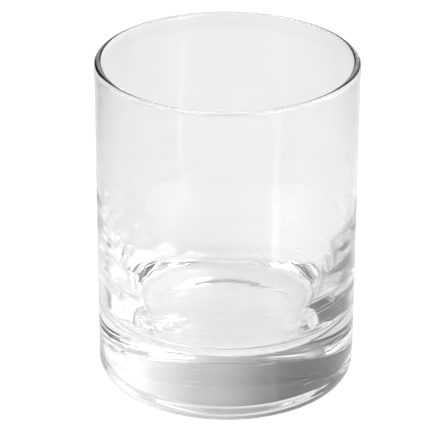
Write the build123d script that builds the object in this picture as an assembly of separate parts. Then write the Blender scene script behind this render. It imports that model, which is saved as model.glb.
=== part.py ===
from build123d import *
import os
from math import atan, cos, degrees, radians, sin, tan

# One-piece glass whiskey tumbler, in millimetres.
# Origin: centre of the plane that the tumbler rests on. +Z: up the axis and out of the mouth.
# The whole tumbler is one outline turned about the axis. Outline points are (radius, height).
# Angles of arcs are in degrees, from straight outwards (0) round through straight up (90).

# Outside
height = 97.5
rim_diameter = 76.0
wall_lean = 0.25         # degrees that the outside leans outwards, going up
heel_width = 3.8         # the heel is a quarter of an ellipse, this wide
heel_height = 5.0        # and this tall

# Underside
rest_ring_width = 9.5    # flat ring that touches the table
recess_depth = 0.45      # flat recess inside that ring
shoulder_width = 4.0     # of the curve that runs from the ring up to the recess

# Rim
rim_thickness = 2.5      # the lip is a full round of this diameter
lip_proud = 0.17         # how far the lip stands out from the wall
lip_fade = 5.0           # height over which the lip runs into the outside of the wall

# Inside
wall_thickness = 1.3     # thinnest part of the wall
taper_end = 62.0         # the wall thins from the lip down to this height
swell_height = 57.0      # below this height the wall grows thicker
swell_radius = 105.0     # radius of the long curve in which it does so
bowl_draft = 15.0        # degrees from upright of the short cone under that curve
corner_radius = 8.3      # between the cone and the floor
base_thickness = 17.7    # glass under the edge of the floor
floor_slope = 2.0        # degrees that the dished floor rises at its edge

# Worked out from the sizes above
lean = radians(wall_lean)
draft = radians(bowl_draft)
rim_radius = rim_diameter / 2
lip_radius = rim_thickness / 2
lip_centre_z = height - lip_radius
fade_end_z = lip_centre_z - lip_fade
wall_top_radius = rim_radius - lip_proud


def wall_radius(z):
    """Outside radius of the straight wall at height z."""
    return wall_top_radius - (fade_end_z - z) * tan(lean)


def on_circle(centre, radius, angle):
    """Point at this angle on a circle."""
    turn = radians(angle)
    return (centre[0] + radius * cos(turn), centre[1] + radius * sin(turn))


def arc(centre, radius, start_angle, end_angle):
    """Arc about a centre, from one angle to another; returns where it ends."""
    end = on_circle(centre, radius, end_angle)
    middle = on_circle(centre, radius, (start_angle + end_angle) / 2)
    ThreePointArc(on_circle(centre, radius, start_angle), middle, end)
    return end


def fade(start, end):
    """Smooth run between the lip and a wall, upright at both ends."""
    halfway = (start[1] + end[1]) / 2
    Bezier(start, (start[0], halfway), (end[0], halfway), end)


def underside(ring_outer):
    """Flat recess from the axis, its curved shoulder, then the flat resting ring."""
    ring_inner = ring_outer - rest_ring_width
    recess_radius = ring_inner - shoulder_width
    shoulder_radius = (shoulder_width**2 + recess_depth**2) / (2 * recess_depth)
    shoulder_angle = degrees(atan(shoulder_width / (shoulder_radius - recess_depth)))
    shoulder_centre = (recess_radius, recess_depth - shoulder_radius)
    Line((0, recess_depth), (recess_radius, recess_depth))
    arc(shoulder_centre, shoulder_radius, 90, 90 - shoulder_angle)
    Line((ring_inner, 0), (ring_outer, 0))


def outside(ring_outer):
    """Heel, wall and the run into the lip."""
    turn = atan(tan(lean) * heel_height / heel_width)   # where the heel meets the leaning wall
    heel_top = (ring_outer + heel_width * cos(turn), heel_height * (1 - sin(turn)))
    EllipticalCenterArc(
        (ring_outer, heel_height),
        heel_width,
        heel_height,
        start_angle=270,
        arc_size=90 - degrees(turn),
    )
    Line(heel_top, (wall_top_radius, fade_end_z))
    fade((wall_top_radius, fade_end_z), (rim_radius, lip_centre_z))


def inside():
    """Down the thinning wall, along the swell, round the corner and over the floor to the axis."""
    thin_top = (wall_radius(taper_end) - wall_thickness, taper_end)
    swell_top = (wall_radius(swell_height) - wall_thickness, swell_height)
    fade((rim_radius - rim_thickness, lip_centre_z), thin_top)
    Line(thin_top, swell_top)

    swell_centre = on_circle(swell_top, swell_radius, 180 - wall_lean)
    cone_top = arc(swell_centre, swell_radius, -wall_lean, -bowl_draft)

    corner_centre_z = base_thickness + corner_radius * cos(radians(floor_slope))
    cone_foot_z = corner_centre_z - corner_radius * sin(draft)
    cone_foot = (cone_top[0] - (cone_top[1] - cone_foot_z) * tan(draft), cone_foot_z)
    Line(cone_top, cone_foot)
    corner_centre = (cone_foot[0] - corner_radius * cos(draft), corner_centre_z)
    floor_edge = arc(corner_centre, corner_radius, -bowl_draft, floor_slope - 90)

    dish_radius = floor_edge[0] / sin(radians(floor_slope))
    dish_centre_z = base_thickness + dish_radius * cos(radians(floor_slope))
    return arc((0, dish_centre_z), dish_radius, floor_slope - 90, -90)


def glass_tumbler():
    """The tumbler's one solid."""
    ring_outer = wall_radius(heel_height) - heel_width
    with BuildPart() as tumbler:
        with BuildSketch(Plane.XZ):
            with BuildLine():
                underside(ring_outer)
                outside(ring_outer)
                arc((rim_radius - lip_radius, lip_centre_z), lip_radius, 0, 180)
                floor_centre = inside()
                Line(floor_centre, (0, recess_depth))
            make_face()
        revolve(axis=Axis.Z)
    return tumbler.part


os.makedirs("parts", exist_ok=True)
export_step(glass_tumbler(), "parts/glass_tumbler.step")
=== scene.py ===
from math import atan, cos, pi, radians, sin, tan

import bpy
from mathutils import Matrix, Vector, noise


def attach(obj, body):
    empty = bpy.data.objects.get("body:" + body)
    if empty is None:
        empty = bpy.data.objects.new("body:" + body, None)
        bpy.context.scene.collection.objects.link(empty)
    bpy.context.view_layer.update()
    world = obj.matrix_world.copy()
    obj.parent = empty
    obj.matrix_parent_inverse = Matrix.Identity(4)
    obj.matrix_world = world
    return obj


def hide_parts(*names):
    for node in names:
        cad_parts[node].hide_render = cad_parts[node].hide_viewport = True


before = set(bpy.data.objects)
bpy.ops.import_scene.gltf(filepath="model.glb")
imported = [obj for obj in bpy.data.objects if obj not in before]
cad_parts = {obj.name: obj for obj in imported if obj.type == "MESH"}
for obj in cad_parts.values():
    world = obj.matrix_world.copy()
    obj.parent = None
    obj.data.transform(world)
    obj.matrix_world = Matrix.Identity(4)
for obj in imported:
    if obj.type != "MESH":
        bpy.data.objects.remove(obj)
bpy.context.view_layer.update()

# all lengths are metres; heights are measured up from the face that the glass stands on
tumbler = {
    "height": 0.0975,
    "rimRadius": 0.038,
    "wallLean": radians(0.25),    # the outside leans outwards, going up
    "heelWidth": 0.0038,          # the heel is a quarter of an ellipse
    "heelHeight": 0.005,
    "ringWidth": 0.0095,          # flat ring that the glass stands on
    "recess": 0.00045,            # flat recess inside the ring
    "shoulder": 0.004,            # width of the curve from the ring up to the recess
    "lipRadius": 0.00125,
    "lipProud": 0.00017,          # how far the lip stands out from the wall
    "lipFade": 0.005,
    "taperEnd": 0.062,            # inside, the wall thins from the lip down to here
    "wall": 0.0013,
    "swellHeight": 0.057,         # the wall grows thicker below here
    "swellRadius": 0.105,
    "draft": radians(15),         # short cone between the swell and the corner
    "cornerRadius": 0.0083,
    "base": 0.0177,               # glass under the edge of the floor
    "floorSlope": radians(2),
    "around": 400,                # steps of the spin
    "mergeGap": 0.000002,
}

# level waves that the mould leaves on the inner wall
ripples = {
    "waves": [                    # pitch up the wall, height
        (0.0042, 0.000070),
        (0.0019, 0.000012),
    ],
    "around": 9,                  # how often they change round the wall, per metre
    "topFade": 0.02,
    "bottomFade": 0.016,
    "wallShare": 0.9,             # of the wall's thickness, to tell its inside from its outside
}


def straightRun(start, end, steps):
    parts = [i / steps for i in range(1, steps + 1)]
    return [(start[0] + (end[0] - start[0]) * t, start[1] + (end[1] - start[1]) * t) for t in parts]


def roundRun(centre, across, upright, start, end, steps):
    turns = [start + (end - start) * i / steps for i in range(1, steps + 1)]
    return [(centre[0] + across * cos(t), centre[1] + upright * sin(t)) for t in turns]


def fadeRun(start, end, steps):
    # upright at both ends, like a cosine step
    parts = [i / steps for i in range(1, steps + 1)]
    return [(start[0] + (end[0] - start[0]) * (1 - cos(pi * t)) / 2,
             start[1] + (end[1] - start[1]) * t) for t in parts]


def wallRadius(p, z):
    # outside radius of the straight wall
    fadeZ = p["height"] - p["lipRadius"] - p["lipFade"]
    return p["rimRadius"] - p["lipProud"] - (fadeZ - z) * tan(p["wallLean"])


def undersideRun(p):
    # recess, its shoulder, then the flat ring
    ringOuter = wallRadius(p, p["heelHeight"]) - p["heelWidth"]
    ringInner = ringOuter - p["ringWidth"]
    recessRadius = ringInner - p["shoulder"]
    shoulderRadius = (p["shoulder"] ** 2 + p["recess"] ** 2) / (2 * p["recess"])
    shoulderTurn = atan(p["shoulder"] / (shoulderRadius - p["recess"]))
    points = [(0, p["recess"])]
    points += straightRun(points[-1], (recessRadius, p["recess"]), 3)
    points += roundRun((recessRadius, p["recess"] - shoulderRadius), shoulderRadius, shoulderRadius,
                       pi / 2, pi / 2 - shoulderTurn, 14)
    return points + straightRun((ringInner, 0), (ringOuter, 0), 2)


def outsideRun(p, ringEnd):
    # heel, wall, run into the lip, then over the lip
    lipZ = p["height"] - p["lipRadius"]
    wallTop = (p["rimRadius"] - p["lipProud"], lipZ - p["lipFade"])
    points = roundRun((ringEnd[0], p["heelHeight"]), p["heelWidth"], p["heelHeight"],
                      -pi / 2, -p["wallLean"], 26)
    points += straightRun(points[-1], wallTop, 6)
    points += fadeRun(points[-1], (p["rimRadius"], lipZ), 8)
    return points + roundRun((p["rimRadius"] - p["lipRadius"], lipZ), p["lipRadius"], p["lipRadius"],
                             0, pi, 22)


def insideRun(p, lipEnd):
    # thinning wall, swell, cone, corner, dished floor
    lean, draft, slope = p["wallLean"], p["draft"], p["floorSlope"]
    points = fadeRun(lipEnd, (wallRadius(p, p["taperEnd"]) - p["wall"], p["taperEnd"]), 54)
    swellTop = (wallRadius(p, p["swellHeight"]) - p["wall"], p["swellHeight"])
    points += straightRun(points[-1], swellTop, 9)
    swellCentre = (swellTop[0] - p["swellRadius"] * cos(lean), swellTop[1] + p["swellRadius"] * sin(lean))
    points += roundRun(swellCentre, p["swellRadius"], p["swellRadius"], -lean, -draft, 48)

    coneTop = points[-1]
    cornerZ = p["base"] + p["cornerRadius"] * cos(slope)
    coneFootZ = cornerZ - p["cornerRadius"] * sin(draft)
    coneFoot = (coneTop[0] - (coneTop[1] - coneFootZ) * tan(draft), coneFootZ)
    points += straightRun(coneTop, coneFoot, 8)
    points += roundRun((coneFoot[0] - p["cornerRadius"] * cos(draft), cornerZ),
                       p["cornerRadius"], p["cornerRadius"], -draft, slope - pi / 2, 30)

    dishRadius = points[-1][0] / sin(slope)
    return points + roundRun((0, p["base"] + dishRadius * cos(slope)), dishRadius, dishRadius,
                             slope - pi / 2, -pi / 2, 12)


def tumblerOutline(p):
    # a chain of (radius, height) points, from the middle of the base round to the middle of the floor
    points = undersideRun(p)
    points += outsideRun(p, points[-1])
    return points + insideRun(p, points[-1])


def startPiece(name):
    # a small plane merged to one corner, to draw from
    bpy.ops.object.select_all(action="DESELECT")
    bpy.ops.mesh.primitive_plane_add(size=0.002, location=(0, 0, 0))
    piece = bpy.context.object
    piece.name = name
    piece.data.name = name
    bpy.ops.object.mode_set(mode="EDIT")
    bpy.ops.mesh.merge(type="CENTER")
    return piece


def spinOutline(points, steps, mergeGap):
    # the corner is drawn out point by point, then the line is turned about the axis
    penX, penZ = points[0]
    bpy.ops.transform.translate(value=(penX, 0, penZ))
    for x, z in points[1:]:
        bpy.ops.mesh.extrude_region_move(TRANSFORM_OT_translate={"value": (x - penX, 0, z - penZ)})
        penX, penZ = x, z
    bpy.ops.mesh.select_all(action="SELECT")
    bpy.ops.mesh.spin(steps=steps, angle=2 * pi, center=(0, 0, 0), axis=(0, 0, 1))
    bpy.ops.mesh.select_all(action="SELECT")
    bpy.ops.mesh.remove_doubles(threshold=mergeGap)
    bpy.ops.mesh.normals_make_consistent(inside=False)
    bpy.ops.object.mode_set(mode="OBJECT")


def rippleWall(piece, p, r):
    # only the inner wall moves, and only between the lip and the corner of the floor
    top = p["height"] - p["lipRadius"] - p["lipFade"]
    bottom = p["base"] + p["cornerRadius"]
    innerLimit = p["rimRadius"] - p["wall"] * r["wallShare"]
    for corner in piece.data.vertices:
        x, y, z = corner.co
        radius = (x * x + y * y) ** 0.5
        if radius > innerLimit or z < bottom or z > top:
            continue
        fade = min(1, (top - z) / r["topFade"], (z - bottom) / r["bottomFade"])
        wave = 0
        for pitch, height in r["waves"]:
            wave += noise.noise(Vector((x * r["around"], y * r["around"], z / pitch))) * height
        move = 1 + wave * fade / radius
        corner.co.x, corner.co.y = x * move, y * move


def makeTumbler(p, r):
    piece = startPiece("tumblerGlass")
    spinOutline(tumblerOutline(p), p["around"], p["mergeGap"])
    rippleWall(piece, p, r)
    bpy.ops.object.select_all(action="DESELECT")
    piece.select_set(True)
    bpy.ops.object.shade_smooth()
    return piece


glass = makeTumbler(tumbler, ripples)
print("tumbler spun:", len(glass.data.vertices), "corners")

clearGlass = {
    "tint": (0.975, 0.98, 0.98, 1),
    "ior": 1.52,
    "cleanRoughness": 0.0,
    "markRoughness": 0.02,
    "reliefDepth": 0.000012,      # of a relief of 1
}

# what the glass finish is given; scales and stretches are in cycles a metre
glassFinish = {
    "Mark Scale": 55,             # finger and cloth marks
    "Mark From": 0.56,
    "Mark To": 0.74,
    "Ripple Stretch": (24, 24, 420),  # long round the wall and fine up it
    "Ripple Bottom": 0.027,       # ripples fade in above the floor and out below the lip
    "Ripple Top": 0.088,
    "Ripple Fade": 0.012,
    "Streak Stretch": (55, 55, 1300),  # short level threads in the thick lower glass
    "Streak From": 0.66,
    "Streak To": 0.80,
    "Streak Height": 5.0,         # beside the ripples' 1
    "Streak Full": 0.02,          # they are full below here
    "Streak Top": 0.045,          # and gone above here
}


def linkOrSet(links, socket, given):
    if isinstance(given, bpy.types.NodeSocket):
        links.new(given, socket)
    else:
        socket.default_value = given


def mathNode(tree, operation, first, second, clamp=False):
    node = tree.nodes.new("ShaderNodeMath")
    node.operation = operation
    node.use_clamp = clamp
    linkOrSet(tree.links, node.inputs[0], first)
    linkOrSet(tree.links, node.inputs[1], second)
    return node.outputs[0]


def smoothMask(tree, value, start, end):
    # 0 before start, 1 past end
    node = tree.nodes.new("ShaderNodeMapRange")
    node.interpolation_type = "SMOOTHSTEP"
    linkOrSet(tree.links, node.inputs["Value"], value)
    linkOrSet(tree.links, node.inputs["From Min"], start)
    linkOrSet(tree.links, node.inputs["From Max"], end)
    return node.outputs["Result"]


def stretchedNoise(tree, coordinates, stretch, detail, distortion):
    scaled = tree.nodes.new("ShaderNodeVectorMath")
    scaled.operation = "MULTIPLY"
    tree.links.new(coordinates, scaled.inputs[0])
    tree.links.new(stretch, scaled.inputs[1])
    pattern = tree.nodes.new("ShaderNodeTexNoise")
    pattern.inputs["Scale"].default_value = 1
    pattern.inputs["Detail"].default_value = detail
    pattern.inputs["Distortion"].default_value = distortion
    tree.links.new(scaled.outputs["Vector"], pattern.inputs["Vector"])
    return pattern.outputs["Fac"]


def makeGlassFinish(settings):
    # puts out a mask of faint marks, and a relief of level ripples and streaks
    group = bpy.data.node_groups.new("glassFinish", "ShaderNodeTree")
    group.interface.new_socket(name="Coordinates", in_out="INPUT", socket_type="NodeSocketVector")
    for name, value in settings.items():
        kind = "NodeSocketVector" if isinstance(value, tuple) else "NodeSocketFloat"
        group.interface.new_socket(name=name, in_out="INPUT", socket_type=kind)
    for name in ("Marks", "Relief"):
        group.interface.new_socket(name=name, in_out="OUTPUT", socket_type="NodeSocketFloat")
    given = group.nodes.new("NodeGroupInput").outputs
    result = group.nodes.new("NodeGroupOutput").inputs
    split = group.nodes.new("ShaderNodeSeparateXYZ")
    group.links.new(given["Coordinates"], split.inputs[0])
    z = split.outputs["Z"]

    patches = group.nodes.new("ShaderNodeTexNoise")
    patches.inputs["Detail"].default_value = 5
    patches.inputs["Roughness"].default_value = 0.62
    group.links.new(given["Coordinates"], patches.inputs["Vector"])
    group.links.new(given["Mark Scale"], patches.inputs["Scale"])
    marks = smoothMask(group, patches.outputs["Fac"], given["Mark From"], given["Mark To"])
    group.links.new(marks, result["Marks"])

    # ripples stay between the floor and the lip
    above = mathNode(group, "SUBTRACT", z, given["Ripple Bottom"])
    below = mathNode(group, "SUBTRACT", given["Ripple Top"], z)
    lowEdge = mathNode(group, "DIVIDE", above, given["Ripple Fade"], clamp=True)
    highEdge = mathNode(group, "DIVIDE", below, given["Ripple Fade"], clamp=True)
    waves = stretchedNoise(group, given["Coordinates"], given["Ripple Stretch"], 2, 0.4)
    level = mathNode(group, "MULTIPLY", waves, mathNode(group, "MULTIPLY", lowEdge, highEdge))

    # streaks are only the crests of a finer noise
    threads = stretchedNoise(group, given["Coordinates"], given["Streak Stretch"], 1, 0)
    crests = smoothMask(group, threads, given["Streak From"], given["Streak To"])
    low = smoothMask(group, z, given["Streak Top"], given["Streak Full"])
    streaks = mathNode(group, "MULTIPLY", mathNode(group, "MULTIPLY", crests, low), given["Streak Height"])
    group.links.new(mathNode(group, "ADD", level, streaks), result["Relief"])
    return group


def makeClearGlass(p, settings):
    material = bpy.data.materials.new("clearGlass")
    material.use_nodes = True
    tree = material.node_tree
    shader = tree.nodes["Principled BSDF"]
    shader.inputs["Base Color"].default_value = p["tint"]
    shader.inputs["Transmission Weight"].default_value = 1
    shader.inputs["IOR"].default_value = p["ior"]
    finish = tree.nodes.new("ShaderNodeGroup")
    finish.node_tree = makeGlassFinish(settings)
    for name, value in settings.items():
        finish.inputs[name].default_value = value
    tree.links.new(tree.nodes.new("ShaderNodeTexCoord").outputs["Object"], finish.inputs["Coordinates"])
    rough = tree.nodes.new("ShaderNodeMapRange")
    rough.inputs["To Min"].default_value = p["cleanRoughness"]
    rough.inputs["To Max"].default_value = p["markRoughness"]
    tree.links.new(finish.outputs["Marks"], rough.inputs["Value"])
    tree.links.new(rough.outputs["Result"], shader.inputs["Roughness"])
    bump = tree.nodes.new("ShaderNodeBump")
    bump.inputs["Strength"].default_value = 1
    bump.inputs["Distance"].default_value = p["reliefDepth"]
    tree.links.new(finish.outputs["Relief"], bump.inputs["Height"])
    tree.links.new(bump.outputs["Normal"], shader.inputs["Normal"])
    return material


glass.data.materials.clear()
glass.data.materials.append(makeClearGlass(clearGlass, glassFinish))
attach(glass, "root")
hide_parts("glass_tumbler")
print("glass finished")

table = {
    "radius": 3.0,
    "sides": 96,
    "below": 0.00004,             # clear of the resting ring
    "colour": (0.76, 0.76, 0.76, 1),
    "roughness": 0.12,
    "gloss": 0.3,
    "plainGlow": 0.34,            # only where the table is seen directly, not through the glass
    "paintedLightPools": [                    # painted pools of light, a glow laid into the table's surface: middle, half size, fade, glow
        ((0, 0.10), (0.085, 0.20), 0.16, 0.285),
        ((0, -0.21), (0.14, 0.08), 0.12, 0.60),
        ((-0.24, -0.03), (0.07, 0.05), 0.12, 0.34),
        ((0.24, -0.03), (0.07, 0.05), 0.12, 0.40),
    ],
}


def makeTableWithPaintedLight(p):
    material = bpy.data.materials.new("paleTable")
    material.use_nodes = True
    tree = material.node_tree
    shader = tree.nodes["Principled BSDF"]
    shader.inputs["Base Color"].default_value = p["colour"]
    shader.inputs["Roughness"].default_value = p["roughness"]
    shader.inputs["Specular IOR Level"].default_value = p["gloss"]
    shader.inputs["Emission Strength"].default_value = 1
    split = tree.nodes.new("ShaderNodeSeparateXYZ")
    tree.links.new(tree.nodes.new("ShaderNodeTexCoord").outputs["Object"], split.inputs[0])
    direct = tree.nodes.new("ShaderNodeLightPath").outputs["Is Camera Ray"]
    glowWithPaintedPools = mathNode(tree, "MULTIPLY", direct, p["plainGlow"])
    # painted light: each pool adds a soft rectangle of glow to the table, seen directly and through the glass
    for middle, half, fade, level in p["paintedLightPools"]:
        paintedPool = level
        for axis, centre, reach in zip("XY", middle, half):
            offset = mathNode(tree, "SUBTRACT", split.outputs[axis], centre)
            away = mathNode(tree, "ABSOLUTE", offset, 0)
            paintedPool = mathNode(tree, "MULTIPLY", smoothMask(tree, away, reach + fade, reach), paintedPool)
        glowWithPaintedPools = mathNode(tree, "ADD", glowWithPaintedPools, paintedPool)
    tree.links.new(glowWithPaintedPools, shader.inputs["Emission Color"])
    return material


def makeTable(p):
    bpy.ops.object.select_all(action="DESELECT")
    bpy.ops.mesh.primitive_circle_add(vertices=p["sides"], radius=p["radius"], fill_type="NGON",
                                      location=(0, 0, 0))
    piece = bpy.context.object
    piece.name = "table"
    bpy.ops.object.mode_set(mode="EDIT")
    bpy.ops.transform.translate(value=(0, 0, -p["below"]))
    bpy.ops.object.mode_set(mode="OBJECT")
    piece.data.materials.append(makeTableWithPaintedLight(p))


makeTable(table)
print("table laid")

# a wide bright side on the right, a dim room behind on the left
studio = {
    "level": 0.53,
    "patches": [  # azimuth from the camera's side round to the right, elevation, full to, gone by, level
        ("bright wall", 96, 22, 50, 70, 0.84),
        ("back window", 126, 32, 13, 25, 1.10),
        ("window bar", 106, 22, 5, 9, 0.40),
        ("dark room", -121, 18, 29, 61, 0.13),
        ("left wall", -60, 36, 14, 34, 0.75),
        ("camera side", -6, 14, 28, 44, 0.06),
    ],
    "horizonLevel": 0.78,         # a pale backdrop below these elevations
    "horizonFull": 1.2,
    "horizonGone": 4,
}


def wayTo(azimuth, elevation):
    a, e = radians(azimuth), radians(elevation)
    return Vector((sin(a) * cos(e), -cos(a) * cos(e), sin(e)))


def levelMix(tree, mask, before, after, label):
    mix = tree.nodes.new("ShaderNodeMix")
    mix.label = label
    tree.links.new(mask, mix.inputs["Factor"])
    linkOrSet(tree.links, mix.inputs["A"], before)
    mix.inputs["B"].default_value = after
    return mix.outputs["Result"]


def makeStudio(p):
    world = bpy.data.worlds.new("studio")
    bpy.context.scene.world = world
    world.use_nodes = True
    tree = world.node_tree
    way = tree.nodes.new("ShaderNodeTexCoord").outputs["Generated"]
    level = p["level"]
    for label, azimuth, elevation, full, gone, patchLevel in p["patches"]:
        dot = tree.nodes.new("ShaderNodeVectorMath")
        dot.operation = "DOT_PRODUCT"
        dot.inputs[1].default_value = wayTo(azimuth, elevation)
        tree.links.new(way, dot.inputs[0])
        mask = smoothMask(tree, dot.outputs["Value"], cos(radians(gone)), cos(radians(full)))
        level = levelMix(tree, mask, level, patchLevel, label)
    split = tree.nodes.new("ShaderNodeSeparateXYZ")
    tree.links.new(way, split.inputs[0])
    low = smoothMask(tree, split.outputs["Z"], sin(radians(p["horizonGone"])), sin(radians(p["horizonFull"])))
    level = levelMix(tree, low, level, p["horizonLevel"], "backdrop")
    background = tree.nodes["Background"]
    background.inputs["Color"].default_value = (1, 1, 1, 1)
    tree.links.new(level, background.inputs["Strength"])


makeStudio(studio)

softboxes = {
    "aimHeight": 0.04,
    "lamps": [  # azimuth, elevation, distance, width, height, watts
        ("key", 50, 48, 1.6, 0.9, 0.9, 7.0),
        ("strip", 43, 26, 2.0, 0.22, 0.45, 3.4),
    ],
}


def makeSoftbox(name, azimuth, elevation, distance, width, height, watts, aimHeight):
    light = bpy.data.lights.new(name, "AREA")
    light.shape = "RECTANGLE"
    light.size, light.size_y = width, height
    light.energy = watts
    lamp = bpy.data.objects.new(name, light)
    bpy.context.scene.collection.objects.link(lamp)
    way = wayTo(azimuth, elevation)
    lamp.location = way * distance + Vector((0, 0, aimHeight))
    lamp.rotation_euler = way.to_track_quat("Z", "Y").to_euler()


for lamp in softboxes["lamps"]:
    makeSoftbox(*lamp, softboxes["aimHeight"])
print("studio lit")

camera = {
    "frame": 430,
    "focal": 3127.7,              # in the same unit as the frame's width
    "sensor": 36,
    "away": 0.908,
    "elevation": radians(25.609),
    "roll": radians(-0.1915),
    "aim": (-0.003405, 0, 0.048763),
    "near": 0.05,
    "far": 20,
}


def makeCamera(p):
    data = bpy.data.cameras.new("camera")
    data.sensor_width = p["sensor"]
    data.lens = p["focal"] / p["frame"] * p["sensor"]
    data.clip_start, data.clip_end = p["near"], p["far"]
    lens = bpy.data.objects.new("camera", data)
    bpy.context.scene.collection.objects.link(lens)
    back = Vector((0, -cos(p["elevation"]), sin(p["elevation"])))
    right = Vector((1, 0, 0))
    up = back.cross(right)
    across = right * cos(p["roll"]) - up * sin(p["roll"])
    upright = right * sin(p["roll"]) + up * cos(p["roll"])
    place = Vector(p["aim"]) + back * p["away"]
    turn = Matrix((across, upright, back)).transposed()
    lens.matrix_world = Matrix.Translation(place) @ turn.to_4x4()
    bpy.context.scene.camera = lens


makeCamera(camera)

scene = bpy.context.scene
scene.view_settings.view_transform = "Standard"
scene.cycles.max_bounces = 24     # clear glass needs many
scene.cycles.transmission_bounces = 24
scene.cycles.glossy_bounces = 16
scene.cycles.diffuse_bounces = 3
scene.cycles.caustics_refractive = True
scene.cycles.caustics_reflective = True
scene.cycles.use_denoising = True
scene.cycles.blur_glossy = 0
scene.cycles.sample_clamp_indirect = 10
print("camera set")
